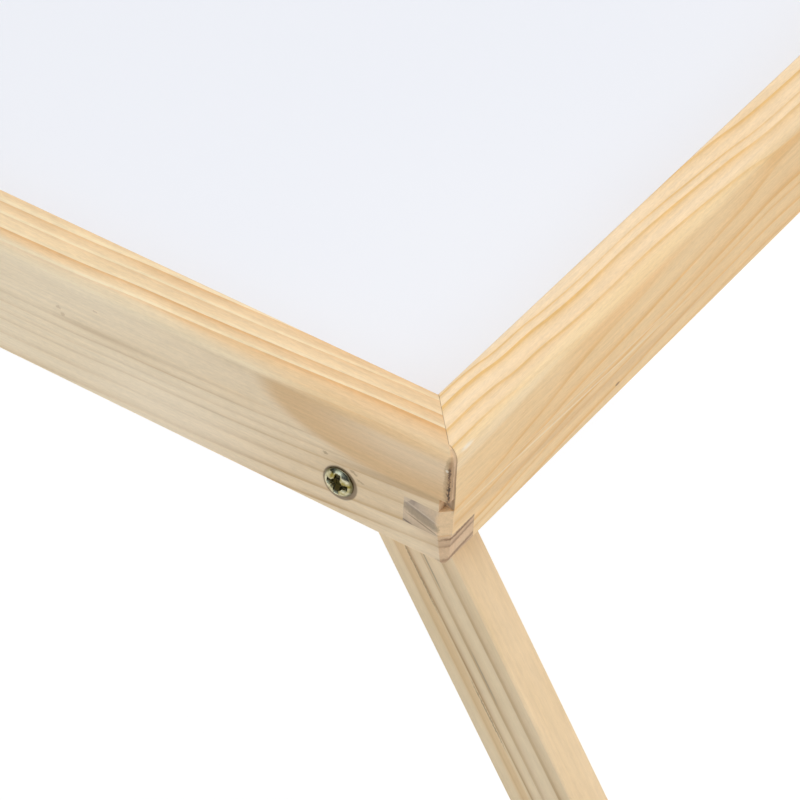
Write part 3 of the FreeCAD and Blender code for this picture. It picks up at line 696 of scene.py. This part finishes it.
def screw_tree():
    """Geometry nodes for a pair of screws that face out of the tray's two sides."""
    tree = bpy.data.node_groups.new("pair_of_cross_head_screws", "GeometryNodeTree")
    for name in PIVOT_SCREW:
        tree.interface.new_socket(name, in_out="INPUT", socket_type="NodeSocketFloat")
    tree.interface.new_socket("Front Place", in_out="INPUT", socket_type="NodeSocketVector")
    tree.interface.new_socket("Apart", in_out="INPUT", socket_type="NodeSocketVector")
    tree.interface.new_socket("Turn", in_out="INPUT", socket_type="NodeSocketFloat")
    tree.interface.new_socket("Finish", in_out="INPUT", socket_type="NodeSocketMaterial")
    tree.interface.new_socket("Screws", in_out="OUTPUT", socket_type="NodeSocketGeometry")
    size = add(tree, "NodeGroupInput").outputs

    # A sheet whose x goes once round the screw and whose y runs from its crown to its point
    sheet = add(tree, "GeometryNodeMeshGrid", {
        "Size X": 1.0, "Size Y": 1.0, "Vertices X": SCREW_ROUND + 1, "Vertices Y": SCREW_ALONG + 1})
    place = add(tree, "ShaderNodeSeparateXYZ", {0: add(tree, "GeometryNodeInputPosition")})
    around = place.outputs["X"]
    along = place.outputs["Y"]
    dome, radius, height = screw_outline(tree, size, along)
    groove = thread_groove(tree, size, around, along, height)
    radius = add(tree, "ShaderNodeMath", {0: radius, 1: groove}, operation="SUBTRACT")
    radius = add(tree, "ShaderNodeMath", {0: radius, 1: 0.0}, operation="MAXIMUM")
    angle = add(tree, "ShaderNodeMath", {0: around, 1: math.tau}, operation="MULTIPLY")
    x = add(tree, "ShaderNodeMath", {0: angle}, operation="COSINE")
    x = add(tree, "ShaderNodeMath", {0: x, 1: radius}, operation="MULTIPLY")
    y = add(tree, "ShaderNodeMath", {0: angle}, operation="SINE")
    y = add(tree, "ShaderNodeMath", {0: y, 1: radius}, operation="MULTIPLY")

    # The cross is deepest in its middle
    cross = cross_recess(tree, size, along, x, y, radius)
    slope = add(tree, "ShaderNodeMapRange", {
        "Value": radius, "From Max": size["Cross Reach"], "To Min": 1.0, "To Max": 0.45})
    depth = add(tree, "ShaderNodeMath", {0: cross, 1: slope}, operation="MULTIPLY")
    depth = add(tree, "ShaderNodeMath", {0: depth, 1: size["Cross Depth"]}, operation="MULTIPLY")
    height = add(tree, "ShaderNodeMath", {0: height, 1: depth}, operation="SUBTRACT")

    # Painted shade is stored for the cross and round the head's edge
    edge = add(tree, "ShaderNodeMapRange", {
        "Value": dome, "From Min": 0.78, "From Max": 0.95, "To Max": 0.75},
        interpolation_type="SMOOTHSTEP")
    shade_share = add(tree, "ShaderNodeMath", {0: cross, 1: edge}, operation="MAXIMUM")
    shaped = add(tree, "GeometryNodeStoreNamedAttribute", {
        "Geometry": sheet.outputs["Mesh"], "Name": "painted_shade", "Value": shade_share},
        data_type="FLOAT", domain="POINT")
    point = add(tree, "ShaderNodeCombineXYZ", {"X": x, "Y": y, "Z": height})
    shaped = add(tree, "GeometryNodeSetPosition", {"Geometry": shaped, "Position": point})
    shaped = add(tree, "GeometryNodeMergeByDistance", {"Geometry": shaped, "Distance": WELD_MM})
    shaped = add(tree, "GeometryNodeTransform", {"Geometry": shaped, "Scale": (MM, MM, MM)})
    shaped = add(tree, "GeometryNodeSetShadeSmooth", {"Geometry": shaped, "Shade Smooth": True})

    # One screw in front facing -Y and one behind facing +Y, each driven home at its own angle
    places = add(tree, "GeometryNodeMeshLine", {
        "Count": 2, "Start Location": size["Front Place"], "Offset": size["Apart"]}, mode="OFFSET")
    index = add(tree, "GeometryNodeInputIndex")
    facing = add(tree, "ShaderNodeMath", {
        0: index, 1: -math.pi, 2: math.pi / 2}, operation="MULTIPLY_ADD")
    spin = add(tree, "ShaderNodeMath", {
        0: index, 1: BACK_SCREW_TURN, 2: size["Turn"]}, operation="MULTIPLY_ADD")
    pair = add(tree, "GeometryNodeInstanceOnPoints", {
        "Points": places, "Instance": shaped,
        "Rotation": add(tree, "ShaderNodeCombineXYZ", {"X": facing, "Y": spin})})
    pair = add(tree, "GeometryNodeRealizeInstances", {"Geometry": pair})
    pair = add(tree, "GeometryNodeSetMaterial", {"Geometry": pair, "Material": size["Finish"]})
    add(tree, "NodeGroupOutput", {"Screws": pair})
    return tree


def screw_pair(name, tree, sizes, first, turn, finish):
    """Plain mesh of two screws made by the tree, at a front place in mm and its mirror behind."""
    maker = bpy.data.objects.new(name + "_maker", bpy.data.meshes.new(name + "_maker"))
    bpy.context.scene.collection.objects.link(maker)
    modifier = maker.modifiers.new("screws", "NODES")
    modifier.node_group = tree
    place = Vector(first) * MM
    values = dict(sizes, Turn=turn, Finish=finish)
    values["Front Place"] = place
    values["Apart"] = Vector((0, -2 * place.y, 0))
    for socket in tree.interface.items_tree:
        if socket.in_out == "INPUT":
            modifier[socket.identifier] = values[socket.name]
    graph = bpy.context.evaluated_depsgraph_get()
    mesh = bpy.data.meshes.new_from_object(maker.evaluated_get(graph))
    bpy.data.objects.remove(maker)
    piece = bpy.data.objects.new(name, mesh)
    bpy.context.scene.collection.objects.link(piece)
    return piece


def screws(finish):
    """The pivot screws' and crossbar screws' pairs of both leg frames."""
    tree = screw_tree()
    for end, side in (("right", 1), ("left", -1)):
        pivot = (side * PIVOT_X_MM, -HALF_WIDTH_MM - HEAD_OFF_RAIL_MM, PIVOT_Z_MM)
        low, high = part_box("front_" + end + "_crossbar_screw")
        middle = (low + high) / 2 / MM
        bar = (middle.x, -LEG_OUTER_MM, middle.z)
        for kind, sizes, place in (("pivot", PIVOT_SCREW, pivot), ("crossbar", CROSSBAR_SCREW, bar)):
            turn = SCREW_TURNS[end][kind]
            piece = screw_pair(end + "_" + kind + "_screws", tree, sizes, place, turn, finish)
            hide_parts(*[where + "_" + end + "_" + kind + "_screw" for where in ("front", "back")])
            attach(piece, end + "_leg_frame")


def bright_zinc():
    """Bright zinc plate on a stamped washer: bluish grey, lightly scuffed."""
    material, tree = new_material("bright_zinc_plated_steel")
    coordinates = add(tree, "ShaderNodeTexCoord").outputs["Object"]
    scuffs = add(tree, "ShaderNodeTexNoise", {
        "Vector": coordinates, "Scale": 1 / (0.8 * MM), "Detail": 3.0})
    colour = add(tree, "ShaderNodeMix", {
        "Factor": scuffs.outputs["Fac"], "A": linear("B9BCC0"), "B": linear("D5D8DB")}, data_type="RGBA")
    roughness = add(tree, "ShaderNodeMapRange", {
        "Value": scuffs.outputs["Fac"], "To Min": 0.25, "To Max": 0.45})
    shader = add(tree, "ShaderNodeBsdfPrincipled", {
        "Base Color": colour.outputs[2], "Metallic": 1.0, "Roughness": roughness})
    finish_material(tree, shader)
    return material


def dress_metal_and_board():
    """Washers, panel and screws get their materials."""
    zinc = yellow_zinc()
    washer = bright_zinc()
    for name in frame["nodes"]:
        if name.endswith("_washer"):
            dress(name, washer)
    dress("tray_panel", white_board())
    screws(zinc)


def area_light(name, place, aim, size, power, colour):
    """Square softbox at a place, facing a point, with its power in watts."""
    data = bpy.data.lights.new(name, "AREA")
    data.shape = "SQUARE"
    data.size = size
    data.energy = power
    data.color = colour
    light = bpy.data.objects.new(name, data)
    light.location = place
    light.rotation_euler = (Vector(aim) - Vector(place)).to_track_quat("-Z", "Y").to_euler()
    bpy.context.scene.collection.objects.link(light)


def studio():
    """A pale world that is greyer at the horizon and cooler in front, softboxes and a white floor."""
    scene = bpy.context.scene
    scene.view_settings.view_transform = "Standard"
    world = bpy.data.worlds.new("studio")
    scene.world = world
    world.use_nodes = True
    tree = world.node_tree
    tree.nodes.clear()
    way = add(tree, "ShaderNodeSeparateXYZ", {0: add(tree, "ShaderNodeTexCoord").outputs["Generated"]})
    cool = add(tree, "ShaderNodeMapRange", {"Value": way.outputs["Y"], "From Min": 0.2, "From Max": -0.7})
    tint = add(tree, "ShaderNodeMix", {
        "Factor": cool,
        "A": (1.0, 0.985, 0.965, 1.0),
        "B": (0.84, 1.0, 1.16, 1.0),
    }, data_type="RGBA")
    strength = add(tree, "ShaderNodeMapRange", {
        "Value": way.outputs["Z"], "From Min": 0.1, "From Max": 0.7, "To Min": 0.04, "To Max": 0.62},
        interpolation_type="SMOOTHSTEP")
    background = add(tree, "ShaderNodeBackground", {"Color": tint.outputs[2], "Strength": strength})
    add(tree, "ShaderNodeOutputWorld", {"Surface": background})
    area_light("overhead_softbox", place=(0.5, 0.0, 2.0), aim=(0.15, 0.0, 0.1), size=1.6, power=18,
               colour=(1.0, 0.96, 0.92))
    area_light("right_softbox", place=(2.2, 0.5, 0.9), aim=(0.2, 0.0, 0.2), size=1.4, power=6,
               colour=(1.0, 0.96, 0.91))
    area_light("front_softbox", place=(-0.5, -2.0, 1.0), aim=(0.1, 0.0, 0.2), size=1.2, power=5,
               colour=(0.82, 0.95, 1.1))
    paper_floor()


def paper_floor():
    """Square of white paper under the tray, lit from within so that it fades into the background."""
    far = FLOOR_SIZE / 2
    mesh = bpy.data.meshes.new("floor")
    corners = [(-far, -far, 0), (far, -far, 0), (far, far, 0), (-far, far, 0)]
    mesh.from_pydata(corners, [], [(0, 1, 2, 3)])
    floor = bpy.data.objects.new("floor", mesh)
    bpy.context.scene.collection.objects.link(floor)
    material, tree = new_material("white_paper_sweep")
    coordinates = add(tree, "ShaderNodeTexCoord").outputs["Object"]
    grain = add(tree, "ShaderNodeTexNoise", {"Vector": coordinates, "Scale": 1 / (2.5 * MM)})
    colour = add(tree, "ShaderNodeMix", {
        "Factor": grain.outputs["Fac"], "A": linear("8E8E8E"), "B": linear("919191")}, data_type="RGBA")
    shader = add(tree, "ShaderNodeBsdfPrincipled", {
        "Base Color": colour.outputs[2], "Roughness": 0.9,
        "Emission Color": (1.0, 1.0, 1.0, 1.0), "Emission Strength": 0.8})
    finish_material(tree, shader)
    mesh.materials.append(material)


def camera():
    """Camera at the photograph's angle."""
    heading = math.radians(CAMERA_HEADING)
    dip = math.radians(CAMERA_DIP)
    roll = math.radians(CAMERA_ROLL)
    forward = Vector((math.cos(heading) * math.cos(dip), math.sin(heading) * math.cos(dip), -math.sin(dip)))
    level = forward.cross(Vector((0, 0, 1))).normalized()
    steep = level.cross(forward)
    right = level * math.cos(roll) + steep * math.sin(roll)
    up = steep * math.cos(roll) - level * math.sin(roll)
    data = bpy.data.cameras.new("camera")
    data.lens = CAMERA_LENS_MM
    data.clip_end = 20.0
    seen = bpy.data.objects.new("camera", data)
    seen.matrix_world = Matrix((right, up, -forward)).transposed().to_4x4()
    seen.location = CAMERA_PLACE
    bpy.context.scene.collection.objects.link(seen)
    bpy.context.scene.camera = seen


camera()
studio()
dress_wood()
dress_metal_and_board()
